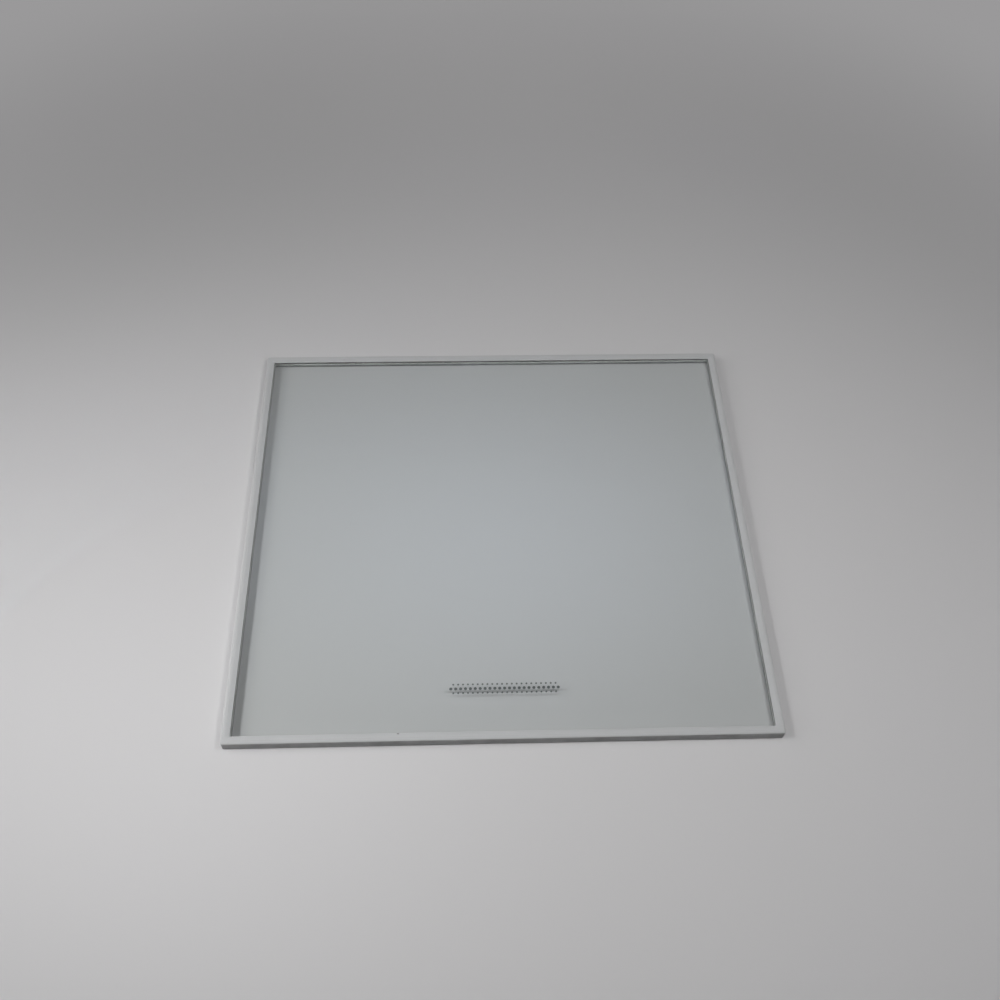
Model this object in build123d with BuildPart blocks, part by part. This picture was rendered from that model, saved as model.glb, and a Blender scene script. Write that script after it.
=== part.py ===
"""Refrigerator glass shelf: a toughened pane held in a one-piece moulded plastic edge frame.

Millimetres, +X to the right, +Y to the rear of the cabinet, +Z up.
The origin is the middle of the underside, on the plane that the shelf rests on.
"""

import os

from build123d import *

# Shelf in plan
shelf_width = 450.0
shelf_depth = 410.0
outer_corner_radius = 1.8

# Toughened glass pane, with ground edges
glass_thickness = 4.0
glass_corner_radius = 4.0
glass_arris = 0.6

# Section of the frame: a channel that bites on the glass from above and below
rim_width = 7.2
outer_wall = 2.4
lip_thickness = 2.2
flange_thickness = 3.2
glass_clearance = 0.05

# Crowned top of the rim, which falls from its ridge to both edges
outer_slope_width = 1.4
outer_slope_drop = 0.45
inner_slope_width = 3.8
inner_slope_drop = 0.9
ridge_radius = 1.2

# Window in the frame, with draft so that the mould halves pull away
window_corner_radius = 1.2
window_draft = 3.0

# Rounded edges of the frame
rim_edge_radius = 0.5
lip_edge_radius = 0.4
foot_edge_radius = 0.5

# Slots in the flange, left by the posts that carry the glass while the frame is moulded
post_slot_length = 8.0
post_slot_width = 2.0
post_slot_pitch = 90.0
post_slot_end_margin = 40.0

# Heights that follow from the section
glass_bottom = flange_thickness + glass_clearance
lip_bottom = glass_bottom + glass_thickness + glass_clearance
frame_height = lip_bottom + lip_thickness
rim_edge_height = frame_height - outer_slope_drop
lip_edge_height = frame_height - inner_slope_drop

# Plan sizes that follow from the section
glass_inset = outer_wall + glass_clearance
glass_width = shelf_width - 2 * glass_inset
glass_depth = shelf_depth - 2 * glass_inset
glass_bite = rim_width - glass_inset
window_width = shelf_width - 2 * rim_width
window_depth = shelf_depth - 2 * rim_width
post_row_inset = glass_inset + glass_bite / 2

# How far from a height an edge may lie and still count as level with it
level_tolerance = 0.02


def glass_blank(clearance):
    """The pane with its ground edges, grown on every side by the clearance."""
    with BuildPart() as blank:
        with BuildSketch(Plane.XY.offset(glass_bottom - clearance)):
            RectangleRounded(
                glass_width + 2 * clearance,
                glass_depth + 2 * clearance,
                glass_corner_radius + clearance,
            )
        extrude(amount=glass_thickness + 2 * clearance)
        chamfer(blank.faces().filter_by(Axis.Z).edges(), length=glass_arris)
    return blank.part


def posts_along(run):
    """How many moulding posts stand along a side of the window."""
    return int((run - 2 * post_slot_end_margin) // post_slot_pitch) + 1


def edges_at(solid, height):
    """The edges of a solid that lie level at a height."""
    return solid.edges().filter_by_position(Axis.Z, height - level_tolerance, height + level_tolerance)


# Clear toughened glass
with BuildPart() as glass_pane:
    add(glass_blank(0.0))
glass_pane.part.label = "glass_pane"

# White plastic frame, moulded round the glass in one shot
glass_pocket = glass_blank(glass_clearance)
with BuildPart() as edge_frame:
    with BuildSketch():
        RectangleRounded(shelf_width, shelf_depth, outer_corner_radius)
    extrude(amount=frame_height)
    block_top = edge_frame.faces().sort_by(Axis.Z)[-1]
    chamfer(block_top.edges(), length=outer_slope_width, length2=outer_slope_drop, reference=block_top)
    fillet(edges_at(edge_frame, rim_edge_height), radius=rim_edge_radius)
    fillet(edges_at(edge_frame, 0.0), radius=foot_edge_radius)
    add(glass_pocket, mode=Mode.SUBTRACT)

    # The window widens away from the glass, upward through the lip and downward through the flange
    with BuildSketch(Plane.XY.offset(lip_bottom)):
        RectangleRounded(window_width, window_depth, window_corner_radius)
    extrude(amount=lip_thickness, taper=-window_draft, mode=Mode.SUBTRACT)
    with BuildSketch(Plane.XY.offset(flange_thickness)):
        RectangleRounded(window_width, window_depth, window_corner_radius)
    extrude(amount=-flange_thickness, taper=-window_draft, mode=Mode.SUBTRACT)
    underside = edge_frame.faces().sort_by(Axis.Z)[0]
    fillet(underside.inner_wires()[0].edges(), radius=foot_edge_radius)

    # The inner slope completes the crown, whose ridge is then blended
    rim_top = edge_frame.faces().sort_by(Axis.Z)[-1]
    chamfer(
        rim_top.inner_wires()[0].edges(),
        length=inner_slope_width,
        length2=inner_slope_drop,
        reference=rim_top,
    )
    fillet(edges_at(edge_frame, lip_edge_height), radius=lip_edge_radius)
    fillet(edges_at(edge_frame, frame_height), radius=ridge_radius)

    # Post slots reach up to the glass: two rows along X, at front and rear, and two along Y
    with BuildSketch():
        row_spacing = shelf_depth - 2 * post_row_inset
        with GridLocations(post_slot_pitch, row_spacing, posts_along(window_width), 2):
            SlotOverall(post_slot_length, post_slot_width)
        row_spacing = shelf_width - 2 * post_row_inset
        with GridLocations(row_spacing, post_slot_pitch, 2, posts_along(window_depth)):
            SlotOverall(post_slot_length, post_slot_width, rotation=90)
    extrude(amount=glass_bottom, mode=Mode.SUBTRACT)
edge_frame.part.label = "edge_frame"

os.makedirs("parts", exist_ok=True)
export_step(glass_pane.part, "parts/glass_pane.step")
export_step(edge_frame.part, "parts/edge_frame.step")
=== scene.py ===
"""Dresses the refrigerator glass shelf: a toughened pane in a moulded plastic edge frame.

Laid out as a Blender add-on and run as a script. Everything is in metres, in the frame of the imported
solids: +X to the right, +Y to the rear of the cabinet, +Z up, the origin in the middle of the underside.
"""

import math

import bmesh
import bpy
from bpy.props import FloatProperty, FloatVectorProperty, PointerProperty
from bpy.types import Operator, Panel, PropertyGroup
from mathutils import Matrix, Quaternion, Vector


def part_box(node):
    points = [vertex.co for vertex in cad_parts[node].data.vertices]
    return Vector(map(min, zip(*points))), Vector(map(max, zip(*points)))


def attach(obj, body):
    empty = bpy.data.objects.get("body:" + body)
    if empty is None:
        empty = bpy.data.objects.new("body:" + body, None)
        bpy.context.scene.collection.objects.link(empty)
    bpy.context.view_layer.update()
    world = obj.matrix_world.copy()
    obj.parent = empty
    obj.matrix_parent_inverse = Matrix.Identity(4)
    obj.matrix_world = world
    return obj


bl_info = {
    "name": "Refrigerator Glass Shelf",
    "version": (1, 0, 0),
    "blender": (4, 5, 0),
    "location": "View3D > Sidebar > Shelf",
    "description": "Gives a glass shelf its glass, moulded plastic, printed dots and studio",
    "category": "Object",
}

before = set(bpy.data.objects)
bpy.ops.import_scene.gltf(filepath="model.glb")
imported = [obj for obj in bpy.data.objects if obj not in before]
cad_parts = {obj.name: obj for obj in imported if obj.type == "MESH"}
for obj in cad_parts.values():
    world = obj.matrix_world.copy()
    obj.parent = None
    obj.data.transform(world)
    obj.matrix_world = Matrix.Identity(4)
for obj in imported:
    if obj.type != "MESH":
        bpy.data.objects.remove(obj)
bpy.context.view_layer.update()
GLASS_LOW, GLASS_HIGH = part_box("glass_pane")
FRAME_LOW, FRAME_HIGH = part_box("edge_frame")
MM = 0.001

# Glass: height of the furnace waves, and the blur where wiping marks are thickest
WAVE_HEIGHT = 0.04 * MM
SMUDGE_BLUR = 0.04

# Plastic: depth of the drawn grain
GRAIN_DEPTH = 0.06 * MM

# Painted shade on the plastic: how far it spreads from the window's wall, how high it climbs from the
# glass, how broad its patches are, how deep it reaches on the front wall, and how strong each kind is
SHADE_FULL, SHADE_ENDS = 0.1 * MM, 0.5 * MM
SHADE_CLIMB = 1.6 * MM
SHADE_PATCH = 12 * MM
FRONT_SHADE_DEPTH = 0.6 * MM
CORNER_SHADE, WALL_SHADE, FRONT_SHADE = 2.0, 0.75, 0.685

# The flange's upper face: where it lies from the glass's upper face, give or take, how far below it the
# wall's painted shade is full and ends, and how far from the outer wall its painted light stops
FLANGE_FACE = GLASS_LOW.z - GLASS_HIGH.z
FLANGE_FACE_SLACK = 0.2 * MM
WALL_SHADE_FULL, WALL_SHADE_ENDS = 0.3 * MM, 0.1 * MM
OUTER_WALL_MARGIN = 1 * MM

# The speck: radii at which it is full and gone, and its strength
SPECK_FULL, SPECK_ENDS = 0.6 * MM, 1.2 * MM
SPECK_STRENGTH = 0.9

# Printed dots: radii in the outer and middle rows, sides of a dot, grit of the enamel, which is really
# near 0.02 mm and drawn coarser so that it shows, and the shade of the darkest grit
SMALL_DOT, LARGE_DOT = 0.8 * MM, 1.3 * MM
DOT_SIDES = 24
ENAMEL_GRIT = 0.2 * MM
GRIT_SHADE = 0.8

# Stage: half the floor's side, its gap under the shelf, where it fades into the backdrop, how bright the
# middle of a lamp is beside an even one, and the camera's frame in millimetres
FLOOR_HALF = 4.0
FLOOR_GAP = 0.1 * MM
FADE_STARTS, FADE_ENDS = 0.5, 1.05
LAMP_MIDDLE = 2.5
CAMERA_FRAME = 36.0


def linear(hex_code):
    """Turns an sRGB hex colour into linear red, green and blue."""
    parts = [int(hex_code[i:i + 2], 16) / 255 for i in (0, 2, 4)]
    return tuple(p / 12.92 if p <= 0.04045 else ((p + 0.055) / 1.055) ** 2.4 for p in parts)


def opaque(colour):
    """A colour with full alpha, as a node's colour input wants it."""
    return (*colour, 1.0)


def new_material(name):
    """An empty node material and its output node."""
    material = bpy.data.materials.new(name)
    material.use_nodes = True
    tree = material.node_tree
    tree.nodes.clear()
    return material, tree, tree.nodes.new("ShaderNodeOutputMaterial")


def add_node(tree, kind, inputs=None, **settings):
    """Adds one node, sets its properties, and fills each named input with a value or a link."""
    made = tree.nodes.new(kind)
    for name, value in settings.items():
        setattr(made, name, value)
    for name, value in (inputs or {}).items():
        socket = made.inputs[name]
        if isinstance(value, bpy.types.NodeSocket):
            tree.links.new(value, socket)
        else:
            socket.default_value = value
    return made


def wear(piece, material):
    """Puts one material on every face of a piece."""
    piece.data.materials.clear()
    piece.data.materials.append(material)


class GlassSettings(PropertyGroup):
    """The pane's glass."""

    tint: FloatVectorProperty(
        name="Tint",
        description="Colour that light keeps after a long way through the glass",
        subtype="COLOR",
        min=0.0,
        max=1.0,
        default=linear("7CDCC8"),
    )
    absorption: FloatProperty(
        name="Absorption",
        description="How much light the glass takes for each metre that it travels in it",
        min=0.0,
        default=9.0,
    )
    refraction: FloatProperty(
        name="Refractive Index",
        description="Index of soda-lime float glass",
        min=1.0,
        default=1.52,
    )
    passed: FloatProperty(
        name="Light Passed",
        description="Share of slanting light that gets through one face of the glass",
        subtype="FACTOR",
        min=0.0,
        max=1.0,
        default=0.865,
    )
    roller_wave: FloatProperty(
        name="Roller Wave",
        description="Length of the waves that the toughening furnace's rollers leave",
        subtype="DISTANCE",
        default=280 * MM,
    )
    smudge_size: FloatProperty(
        name="Smudge Size",
        description="Breadth of the faint wiping marks",
        subtype="DISTANCE",
        default=45 * MM,
    )


class FrameSettings(PropertyGroup):
    """The frame's plastic."""

    colour: FloatVectorProperty(
        name="Plastic",
        description="Colour of the moulding",
        subtype="COLOR",
        min=0.0,
        max=1.0,
        default=linear("BFC0C1"),
    )
    aged_colour: FloatVectorProperty(
        name="Aged Plastic",
        description="Colour of the moulding where it has dulled in use",
        subtype="COLOR",
        min=0.0,
        max=1.0,
        default=linear("B8B9B9"),
    )
    grain_size: FloatProperty(
        name="Grain",
        description="Size of the fine spark-eroded grain",
        subtype="DISTANCE",
        default=0.8 * MM,
    )
    mottle_size: FloatProperty(
        name="Mottle",
        description="Size of the patches where the colour drifts",
        subtype="DISTANCE",
        default=35 * MM,
    )
    rim_width: FloatProperty(
        name="Rim Width",
        description="Breadth of the rim from the outer wall to the window",
        subtype="DISTANCE",
        default=7.2 * MM,
    )
    # Colour of the painted shade in the corner by the glass, on the flange's wall and front wall, and of
    # the real dark speck
    speck_and_shade_colour: FloatVectorProperty(
        name="Grime",
        description="Colour of the dirt that gathers where the lip meets the glass",
        subtype="COLOR",
        min=0.0,
        max=1.0,
        default=linear("55524E"),
    )
    # Painted light: the whiter colour drawn on the flange's upper face under the glass
    painted_light_colour: FloatVectorProperty(
        name="Kept White",
        description="Colour of the moulding under the glass, where no dirt comes",
        subtype="COLOR",
        min=0.0,
        max=1.0,
        default=linear("F4F4F2"),
    )
    speck: FloatVectorProperty(
        name="Speck",
        description="Where a dark speck sits on the front rim",
        subtype="TRANSLATION",
        size=2,
        default=(-85 * MM, -198.2 * MM),
    )


class MarkSettings(PropertyGroup):
    """The printed dots on the glass."""

    colour: FloatVectorProperty(
        name="Print",
        description="Colour of the fired enamel dots",
        subtype="COLOR",
        min=0.0,
        max=1.0,
        default=linear("5C6160"),
    )
    centre: FloatVectorProperty(
        name="Centre",
        description="Middle of the row of dots on the glass",
        subtype="TRANSLATION",
        size=2,
        default=(1 * MM, -160 * MM),
    )
    length: FloatProperty(
        name="Length",
        description="Length of the rows of dots",
        subtype="DISTANCE",
        default=91 * MM,
    )
    pitch: FloatProperty(
        name="Pitch",
        description="Distance from dot to dot in a row",
        subtype="DISTANCE",
        default=4.0 * MM,
    )
    row_pitch: FloatProperty(
        name="Row Pitch",
        description="Distance between the rows",
        subtype="DISTANCE",
        default=3.8 * MM,
    )
    thickness: FloatProperty(
        name="Thickness",
        description="How far the enamel stands on the glass",
        subtype="DISTANCE",
        default=0.03 * MM,
    )


class StageSettings(PropertyGroup):
    """Floor, lamps and camera."""

    floor_colour: FloatVectorProperty(
        name="Floor",
        description="Colour of the plain table top",
        subtype="COLOR",
        min=0.0,
        max=1.0,
        default=linear("CFCECF"),
    )
    backdrop_colour: FloatVectorProperty(
        name="Backdrop",
        description="Colour of the plain backdrop that the table fades into",
        subtype="COLOR",
        min=0.0,
        max=1.0,
        default=linear("9A999A"),
    )
    world_colour: FloatVectorProperty(
        name="Room",
        description="Colour of the light from the whole room",
        subtype="COLOR",
        min=0.0,
        max=1.0,
        default=(0.015, 0.015, 0.015),
    )
    top_power: FloatProperty(
        name="Top Lamp",
        description="Power of the lamp high above the shelf",
        unit="POWER",
        default=11.2,
    )
    left_front_power: FloatProperty(
        name="Left Front Lamp",
        description="Power of the soft lamp to the left of the front edge, whose beam is narrow",
        unit="POWER",
        default=1.035,
    )
    left_low_power: FloatProperty(
        name="Left Low Lamp",
        description="Power of the soft low lamp to the left of the middle",
        unit="POWER",
        default=2.54,
    )
    right_power: FloatProperty(
        name="Right Lamp",
        description="Power of the soft high lamp on the right",
        unit="POWER",
        default=5.08,
    )
    back_power: FloatProperty(
        name="Back Lamp",
        description="Power of the soft lamp above the table behind the shelf, whose beam is narrow",
        unit="POWER",
        default=0.72,
    )
    mirrored_power: FloatProperty(
        name="Mirrored Panel",
        description="Power of the broad panel behind the shelf that the glass mirrors",
        unit="POWER",
        default=3.0,
    )
    mirrored_colour: FloatVectorProperty(
        name="Mirrored Colour",
        description="Colour of that panel, like a pale sky",
        subtype="COLOR",
        min=0.0,
        max=1.0,
        default=linear("DCE8FF"),
    )
    camera_place: FloatVectorProperty(
        name="Camera",
        description="Where the camera stands",
        subtype="TRANSLATION",
        default=(-28.15 * MM, -543.6 * MM, 824.09 * MM),
    )
    camera_aim: FloatVectorProperty(
        name="Aim",
        description="Point that the camera looks at",
        subtype="TRANSLATION",
        default=(2.88 * MM, 32.95 * MM, 0.0),
    )
    camera_roll: FloatProperty(
        name="Roll",
        description="How far the camera is tipped to its side",
        subtype="ANGLE",
        default=math.radians(1.753),
    )
    lens: FloatProperty(
        name="Lens",
        description="Focal length in millimetres on a 36 mm wide frame",
        default=39.13,
    )


def toughened_float_glass(look):
    """Toughened soda-lime float glass, fire-polished on both faces.

    To the eye it is clear and mirror-smooth, a little green and darker than the air beside it, with long
    low waves from the furnace rollers and faint wiping marks that only show in its reflections.
    """
    material, tree, output = new_material("toughened_float_glass")
    place = add_node(tree, "ShaderNodeTexCoord").outputs["Object"]
    # A band texture repeats each pi / 10 of its scaled length
    waves = add_node(
        tree, "ShaderNodeTexWave", bands_direction="Y",
        inputs={"Vector": place, "Scale": math.pi / 10 / look.roller_wave, "Distortion": 0.6},
    )
    ripple = add_node(
        tree, "ShaderNodeBump",
        inputs={"Height": waves.outputs["Fac"], "Strength": 1.0, "Distance": WAVE_HEIGHT},
    )
    smudges = add_node(
        tree, "ShaderNodeTexNoise",
        inputs={"Vector": place, "Scale": 1 / look.smudge_size, "Detail": 4.0, "Roughness": 0.55},
    )
    blur = add_node(
        tree, "ShaderNodeMapRange",
        inputs={"Value": smudges.outputs["Fac"], "From Min": 0.5, "From Max": 0.75,
                "To Min": 0.0, "To Max": SMUDGE_BLUR},
    )
    shader = add_node(
        tree, "ShaderNodeBsdfPrincipled",
        inputs={"Base Color": (1.0, 1.0, 1.0, 1.0), "IOR": look.refraction,
                "Transmission Weight": 1.0, "Roughness": blur.outputs["Result"],
                "Normal": ripple.outputs["Normal"]},
    )
    depth = add_node(
        tree, "ShaderNodeVolumeAbsorption",
        inputs={"Color": opaque(look.tint), "Density": look.absorption},
    )
    # Lamp light goes straight through to the table, less what the two faces throw back
    clear = add_node(tree, "ShaderNodeBsdfTransparent", inputs={"Color": opaque([look.passed] * 3)})
    ray = add_node(tree, "ShaderNodeLightPath")
    lit = add_node(
        tree, "ShaderNodeMath", operation="MAXIMUM",
        inputs={0: ray.outputs["Is Shadow Ray"], 1: ray.outputs["Is Diffuse Ray"]},
    )
    pane = add_node(
        tree, "ShaderNodeMixShader",
        inputs={0: lit.outputs["Value"], 1: shader.outputs["BSDF"], 2: clear.outputs["BSDF"]},
    )
    tree.links.new(pane.outputs["Shader"], output.inputs["Surface"])
    tree.links.new(depth.outputs["Volume"], output.inputs["Volume"])
    return material


def moulded_white_plastic(look):
    """White ABS, injection moulded in a spark-eroded tool.

    To the eye it is a soft satin off-white, with a fine even grain that breaks up its highlights and a
    faint drift of colour where it has dulled in use. Painted shade darkens it in the corner where the lip
    meets the glass, on the flange's wall and on the front wall, and a painted light makes the flange's
    upper face under the glass whitest.
    """
    material, tree, output = new_material("moulded_white_abs")
    place = add_node(tree, "ShaderNodeTexCoord").outputs["Object"]
    mottle = add_node(
        tree, "ShaderNodeTexNoise",
        inputs={"Vector": place, "Scale": 1 / look.mottle_size, "Detail": 3.0},
    )
    colour = add_node(
        tree, "ShaderNodeMix", data_type="RGBA",
        inputs={"Factor": mottle.outputs["Fac"], 6: opaque(look.colour), 7: opaque(look.aged_colour)},
    )

    # Painted shade in the corner where the lip meets the glass, patchy along its length
    window = (FRAME_HIGH.x - look.rim_width, FRAME_HIGH.y - look.rim_width, GLASS_HIGH.z)
    mirrored = add_node(tree, "ShaderNodeVectorMath", operation="ABSOLUTE", inputs={0: place})
    off_corner = add_node(
        tree, "ShaderNodeVectorMath", operation="SUBTRACT",
        inputs={0: mirrored.outputs["Vector"], 1: window},
    )
    off = add_node(tree, "ShaderNodeSeparateXYZ", inputs={0: off_corner.outputs["Vector"]})
    off_wall = add_node(
        tree, "ShaderNodeMath", operation="MAXIMUM", inputs={0: off.outputs["X"], 1: off.outputs["Y"]},
    )
    at_wall = add_node(
        tree, "ShaderNodeMapRange",
        inputs={"Value": off_wall.outputs["Value"], "From Min": SHADE_FULL, "From Max": SHADE_ENDS,
                "To Min": 1.0, "To Max": 0.0},
    )
    height = add_node(tree, "ShaderNodeMath", operation="ABSOLUTE", inputs={0: off.outputs["Z"]})
    at_glass = add_node(
        tree, "ShaderNodeMapRange",
        inputs={"Value": height.outputs["Value"], "From Min": 0.0, "From Max": SHADE_CLIMB,
                "To Min": CORNER_SHADE, "To Max": 0.0},
    )
    # Painted shade on the flange's wall below the glass
    below_glass = add_node(
        tree, "ShaderNodeMapRange",
        inputs={"Value": off.outputs["Z"], "From Min": FLANGE_FACE - WALL_SHADE_FULL,
                "From Max": FLANGE_FACE - WALL_SHADE_ENDS, "To Min": WALL_SHADE, "To Max": 0.0},
    )
    corner_and_wall_shade = add_node(
        tree, "ShaderNodeMath", operation="MAXIMUM",
        inputs={0: at_glass.outputs["Result"], 1: below_glass.outputs["Result"]},
    )
    in_corner = add_node(
        tree, "ShaderNodeMath", operation="MULTIPLY",
        inputs={0: at_wall.outputs["Result"], 1: corner_and_wall_shade.outputs["Value"]},
    )
    # Painted shade on the front wall
    along = add_node(tree, "ShaderNodeSeparateXYZ", inputs={0: place})
    at_front = add_node(
        tree, "ShaderNodeMapRange",
        inputs={"Value": along.outputs["Y"], "From Min": FRAME_LOW.y,
                "From Max": FRAME_LOW.y + FRONT_SHADE_DEPTH, "To Min": FRONT_SHADE, "To Max": 0.0},
    )
    shaded_places = add_node(
        tree, "ShaderNodeMath", operation="MAXIMUM",
        inputs={0: in_corner.outputs["Value"], 1: at_front.outputs["Result"]},
    )
    # Patches break up all the painted shade
    patches = add_node(
        tree, "ShaderNodeTexNoise", inputs={"Vector": place, "Scale": 1 / SHADE_PATCH, "Detail": 2.0},
    )
    painted_shade = add_node(
        tree, "ShaderNodeMath", operation="MULTIPLY", use_clamp=True,
        inputs={0: shaded_places.outputs["Value"], 1: patches.outputs["Fac"]},
    )
    shaded_colour = add_node(
        tree, "ShaderNodeMix", data_type="RGBA",
        inputs={"Factor": painted_shade.outputs["Value"], 6: colour.outputs[2], 7: opaque(look.speck_and_shade_colour)},
    )

    # Painted light: the flange's upper face under the glass is drawn whiter, so that a lighter line shows
    level = add_node(
        tree, "ShaderNodeMath", operation="COMPARE",
        inputs={0: off.outputs["Z"], 1: FLANGE_FACE, 2: FLANGE_FACE_SLACK},
    )
    covered = add_node(
        tree, "ShaderNodeMath", operation="LESS_THAN",
        inputs={0: off_wall.outputs["Value"], 1: look.rim_width - OUTER_WALL_MARGIN},
    )
    painted_light = add_node(
        tree, "ShaderNodeMath", operation="MULTIPLY",
        inputs={0: level.outputs["Value"], 1: covered.outputs["Value"]},
    )
    lit_face = add_node(
        tree, "ShaderNodeMix", data_type="RGBA",
        inputs={"Factor": painted_light.outputs["Value"], 6: shaded_colour.outputs[2], 7: opaque(look.painted_light_colour)},
    )

    # One dark speck, a little over a millimetre across
    flat = add_node(
        tree, "ShaderNodeVectorMath", operation="MULTIPLY", inputs={0: place, 1: (1.0, 1.0, 0.0)},
    )
    off_speck = add_node(
        tree, "ShaderNodeVectorMath", operation="DISTANCE",
        inputs={0: flat.outputs["Vector"], 1: (*look.speck, 0.0)},
    )
    at_speck = add_node(
        tree, "ShaderNodeMapRange",
        inputs={"Value": off_speck.outputs["Value"], "From Min": SPECK_FULL, "From Max": SPECK_ENDS,
                "To Min": SPECK_STRENGTH, "To Max": 0.0},
    )
    specked = add_node(
        tree, "ShaderNodeMix", data_type="RGBA",
        inputs={"Factor": at_speck.outputs["Result"], 6: lit_face.outputs[2],
                7: opaque(look.speck_and_shade_colour)},
    )

    # The real grain is near 0.1 mm, too fine to show here, so it is drawn coarser
    grain = add_node(
        tree, "ShaderNodeTexNoise",
        inputs={"Vector": place, "Scale": 1 / look.grain_size, "Detail": 2.0},
    )
    texture = add_node(
        tree, "ShaderNodeBump",
        inputs={"Height": grain.outputs["Fac"], "Strength": 0.6, "Distance": GRAIN_DEPTH},
    )
    satin = add_node(
        tree, "ShaderNodeMapRange",
        inputs={"Value": mottle.outputs["Fac"], "To Min": 0.40, "To Max": 0.52},
    )
    shader = add_node(
        tree, "ShaderNodeBsdfPrincipled",
        inputs={"Base Color": specked.outputs[2], "IOR": 1.53, "Roughness": satin.outputs["Result"],
                "Normal": texture.outputs["Normal"]},
    )
    tree.links.new(shader.outputs["BSDF"], output.inputs["Surface"])
    return material


def fired_enamel(look):
    """Grey ceramic enamel, screen printed and fired into the glass.

    To the eye it is a dull, slightly grainy grey film with crisp edges.
    """
    material, tree, output = new_material("fired_grey_enamel")
    place = add_node(tree, "ShaderNodeTexCoord").outputs["Object"]
    grit = add_node(
        tree, "ShaderNodeTexNoise",
        inputs={"Vector": place, "Scale": 1 / ENAMEL_GRIT, "Detail": 1.0},
    )
    shade = add_node(
        tree, "ShaderNodeMix", data_type="RGBA",
        inputs={"Factor": grit.outputs["Fac"], 6: opaque(look.colour),
                7: opaque([GRIT_SHADE * c for c in look.colour])},
    )
    film = add_node(
        tree, "ShaderNodeMapRange",
        inputs={"Value": grit.outputs["Fac"], "To Min": 0.45, "To Max": 0.65},
    )
    shader = add_node(
        tree, "ShaderNodeBsdfPrincipled",
        inputs={"Base Color": shade.outputs[2], "IOR": 1.55, "Roughness": film.outputs["Result"]},
    )
    tree.links.new(shader.outputs["BSDF"], output.inputs["Surface"])
    return material


def seen_directly(tree):
    """One for a ray from the camera, off a mirror or through glass, and zero for light that spreads."""
    ray = add_node(tree, "ShaderNodeLightPath")
    mirrored = add_node(
        tree, "ShaderNodeMath", operation="MAXIMUM",
        inputs={0: ray.outputs["Is Camera Ray"], 1: ray.outputs["Is Glossy Ray"]},
    )
    seen = add_node(
        tree, "ShaderNodeMath", operation="MAXIMUM",
        inputs={0: mirrored.outputs["Value"], 1: ray.outputs["Is Transmission Ray"]},
    )
    return seen.outputs["Value"]


def table_top(look):
    """Plain pale laminate.

    To the eye it is matt and even, mirrors next to nothing, and fades into the backdrop far from the shelf.
    """
    material, tree, output = new_material("pale_laminate")
    shader = add_node(
        tree, "ShaderNodeBsdfPrincipled",
        inputs={"Base Color": opaque(look.floor_colour), "Roughness": 0.85, "Specular IOR Level": 0.2},
    )
    place = add_node(tree, "ShaderNodeTexCoord").outputs["Object"]
    off_middle = add_node(tree, "ShaderNodeVectorMath", operation="LENGTH", inputs={0: place})
    far = add_node(
        tree, "ShaderNodeMapRange", interpolation_type="SMOOTHSTEP",
        inputs={"Value": off_middle.outputs["Value"], "From Min": FADE_STARTS, "From Max": FADE_ENDS},
    )
    faded = add_node(
        tree, "ShaderNodeMath", operation="MULTIPLY",
        inputs={0: far.outputs["Result"], 1: seen_directly(tree)},
    )
    backdrop = add_node(tree, "ShaderNodeEmission", inputs={"Color": opaque(look.backdrop_colour)})
    surface = add_node(
        tree, "ShaderNodeMixShader",
        inputs={0: faded.outputs["Value"], 1: shader.outputs["BSDF"], 2: backdrop.outputs["Emission"]},
    )
    tree.links.new(surface.outputs["Shader"], output.inputs["Surface"])
    return material


def link_mesh(name, shape):
    """Turns a bmesh into a named object in the scene."""
    mesh = bpy.data.meshes.new(name)
    shape.to_mesh(mesh)
    shape.free()
    piece = bpy.data.objects.new(name, mesh)
    bpy.context.scene.collection.objects.link(piece)
    return piece


def soft_box(name, place, aim, size, spread, power, mirrored=False):
    """An oval area lamp that faces a point and fades to its rim, with its beam's spread in degrees.

    A lamp either lights what it shines on or is mirrored in it, because a mirrored lamp is a white patch
    that hides the glass.
    """
    lamp = bpy.data.lights.new(name, "AREA")
    lamp.shape = "ELLIPSE"
    lamp.size, lamp.size_y = size
    lamp.spread = math.radians(spread)
    lamp.energy = power
    lamp.use_nodes = True
    tree = lamp.node_tree
    tree.nodes.clear()
    place_on_lamp = add_node(tree, "ShaderNodeNewGeometry").outputs["Parametric"]
    off_middle = add_node(
        tree, "ShaderNodeVectorMath", operation="DISTANCE",
        inputs={0: place_on_lamp, 1: (0.5, 0.5, 0.0)},
    )
    fade = add_node(
        tree, "ShaderNodeMapRange", interpolation_type="SMOOTHSTEP",
        inputs={"Value": off_middle.outputs["Value"], "From Min": 0.0, "From Max": 0.5,
                "To Min": LAMP_MIDDLE, "To Max": 0.0},
    )
    glow = add_node(tree, "ShaderNodeEmission", inputs={"Strength": fade.outputs["Result"]})
    output = add_node(tree, "ShaderNodeOutputLight")
    tree.links.new(glow.outputs["Emission"], output.inputs["Surface"])
    holder = bpy.data.objects.new(name, lamp)
    holder.location = place
    holder.rotation_mode = "QUATERNION"
    holder.rotation_quaternion = (Vector(aim) - Vector(place)).to_track_quat("-Z", "Y")
    holder.visible_diffuse = not mirrored
    holder.visible_glossy = mirrored
    holder.visible_transmission = mirrored
    bpy.context.scene.collection.objects.link(holder)
    return lamp


class SHELF_OT_dress_glass(Operator):
    """Gives the pane its toughened glass"""

    bl_idname = "shelf.dress_glass"
    bl_label = "Dress the Glass Pane"

    def execute(self, context):
        wear(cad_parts["glass_pane"], toughened_float_glass(context.scene.shelf_glass))
        return {"FINISHED"}


class SHELF_OT_dress_frame(Operator):
    """Gives the edge frame its moulded plastic"""

    bl_idname = "shelf.dress_frame"
    bl_label = "Dress the Edge Frame"

    def execute(self, context):
        wear(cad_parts["edge_frame"], moulded_white_plastic(context.scene.shelf_frame))
        return {"FINISHED"}


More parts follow.
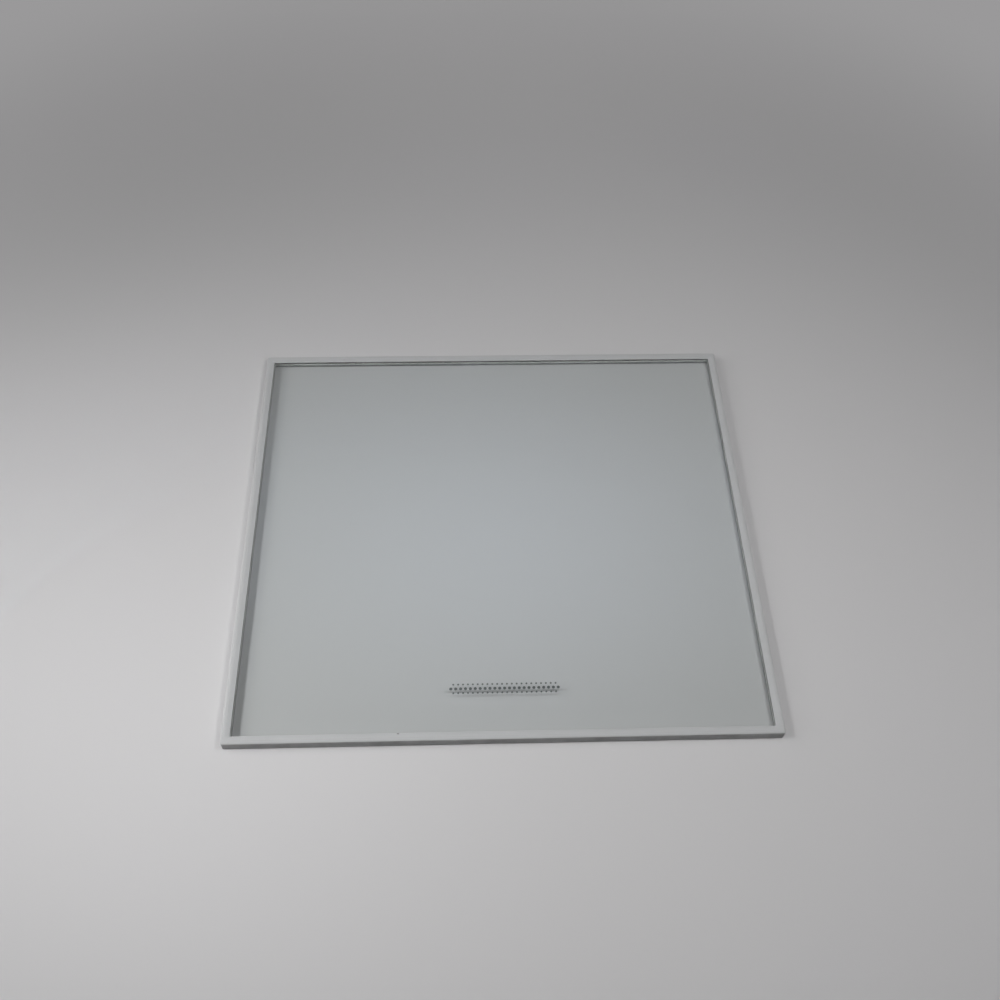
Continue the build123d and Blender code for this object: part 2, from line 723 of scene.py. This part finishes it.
class SHELF_OT_print_dots(Operator):
    """Prints the rows of enamel dots on the glass"""

    bl_idname = "shelf.print_dots"
    bl_label = "Print the Enamel Dots"

    def execute(self, context):
        look = context.scene.shelf_mark
        shape = bmesh.new()
        count = int(look.length // look.pitch)
        z = GLASS_HIGH.z + look.thickness / 2
        for row, radius in ((-1, SMALL_DOT), (0, LARGE_DOT), (1, SMALL_DOT)):
            dots = count if row else count + 1
            for i in range(dots):
                x = look.centre[0] + (i - (dots - 1) / 2) * look.pitch
                y = look.centre[1] + row * look.row_pitch
                bmesh.ops.create_cone(
                    shape, cap_ends=True, segments=DOT_SIDES, radius1=radius, radius2=radius,
                    depth=look.thickness, matrix=Matrix.Translation((x, y, z)),
                )
        piece = link_mesh("printed_dots", shape)
        wear(piece, fired_enamel(look))
        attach(piece, "root")
        return {"FINISHED"}


class SHELF_OT_set_stage(Operator):
    """Sets the floor, the lamps, the room light and the camera"""

    bl_idname = "shelf.set_stage"
    bl_label = "Set the Stage"

    def execute(self, context):
        scene = context.scene
        look = scene.shelf_stage

        shape = bmesh.new()
        drop = Matrix.Translation((0.0, 0.0, FRAME_LOW.z - FLOOR_GAP))
        bmesh.ops.create_grid(shape, x_segments=1, y_segments=1, size=FLOOR_HALF, matrix=drop)
        floor = link_mesh("table_top", shape)
        wear(floor, table_top(look))

        soft_box(
            "top_lamp", place=(0.0, -0.12, 3.0), aim=(0.0, -0.1, 0.0),
            size=(1.0, 1.0), spread=180, power=look.top_power,
        )
        soft_box(
            "left_front_lamp", place=(-1.1, -0.22, 1.18), aim=(-0.2, -0.2, 0.0),
            size=(0.45, 0.45), spread=45, power=look.left_front_power,
        )
        soft_box(
            "left_low_lamp", place=(-1.05, 0.08, 0.52), aim=(-0.15, 0.0, 0.0),
            size=(0.6, 0.6), spread=140, power=look.left_low_power,
        )
        soft_box(
            "right_lamp", place=(0.45, -0.17, 0.95), aim=(0.1, -0.1, 0.0),
            size=(0.4, 0.4), spread=180, power=look.right_power,
        )
        soft_box(
            "back_lamp", place=(0.0, 0.85, 1.5), aim=(0.0, 0.85, 0.0),
            size=(0.6, 0.6), spread=70, power=look.back_power,
        )
        panel = soft_box(
            "mirrored_panel", place=(0.05, 1.02, 1.6), aim=(0.0, 0.0, 0.0),
            size=(2.3, 1.3), spread=180, power=look.mirrored_power, mirrored=True,
        )
        panel.color = look.mirrored_colour

        world = bpy.data.worlds.new("room_light")
        world.use_nodes = True
        tree = world.node_tree
        room = add_node(
            tree, "ShaderNodeMix", data_type="RGBA",
            inputs={"Factor": seen_directly(tree), 6: opaque(look.world_colour),
                    7: opaque(look.backdrop_colour)},
        )
        tree.links.new(room.outputs[2], tree.nodes["Background"].inputs["Color"])
        scene.world = world

        lens = bpy.data.cameras.new("camera")
        lens.sensor_width = CAMERA_FRAME
        lens.lens = look.lens
        camera = bpy.data.objects.new("camera", lens)
        place, aim = Vector(look.camera_place), Vector(look.camera_aim)
        level = (aim - place).to_track_quat("-Z", "Y")
        camera.location = place
        camera.rotation_mode = "QUATERNION"
        camera.rotation_quaternion = level @ Quaternion((0.0, 0.0, 1.0), look.camera_roll)
        scene.collection.objects.link(camera)
        scene.camera = camera
        scene.view_settings.view_transform = "Standard"
        return {"FINISHED"}


class SHELF_PT_builder(Panel):
    """Lists the steps that dress the shelf"""

    bl_idname = "SHELF_PT_builder"
    bl_label = "Glass Shelf"
    bl_space_type = "VIEW_3D"
    bl_region_type = "UI"
    bl_category = "Shelf"

    def draw(self, context):
        for step, settings in STEPS:
            box = self.layout.box()
            look = getattr(context.scene, settings)
            for name in look.__annotations__:
                box.prop(look, name)
            box.operator(step)


STEPS = (
    ("shelf.dress_glass", "shelf_glass"),
    ("shelf.dress_frame", "shelf_frame"),
    ("shelf.print_dots", "shelf_mark"),
    ("shelf.set_stage", "shelf_stage"),
)
SETTINGS = {
    "shelf_glass": GlassSettings,
    "shelf_frame": FrameSettings,
    "shelf_mark": MarkSettings,
    "shelf_stage": StageSettings,
}
CLASSES = (
    *SETTINGS.values(),
    SHELF_OT_dress_glass,
    SHELF_OT_dress_frame,
    SHELF_OT_print_dots,
    SHELF_OT_set_stage,
    SHELF_PT_builder,
)


def register():
    for made in CLASSES:
        bpy.utils.register_class(made)
    for name, group in SETTINGS.items():
        setattr(bpy.types.Scene, name, PointerProperty(type=group))


def unregister():
    for name in SETTINGS:
        delattr(bpy.types.Scene, name)
    for made in reversed(CLASSES):
        bpy.utils.unregister_class(made)


def main():
    register()
    bpy.ops.shelf.dress_glass()
    bpy.ops.shelf.dress_frame()
    bpy.ops.shelf.print_dots()
    bpy.ops.shelf.set_stage()


if __name__ == "__main__":
    main()
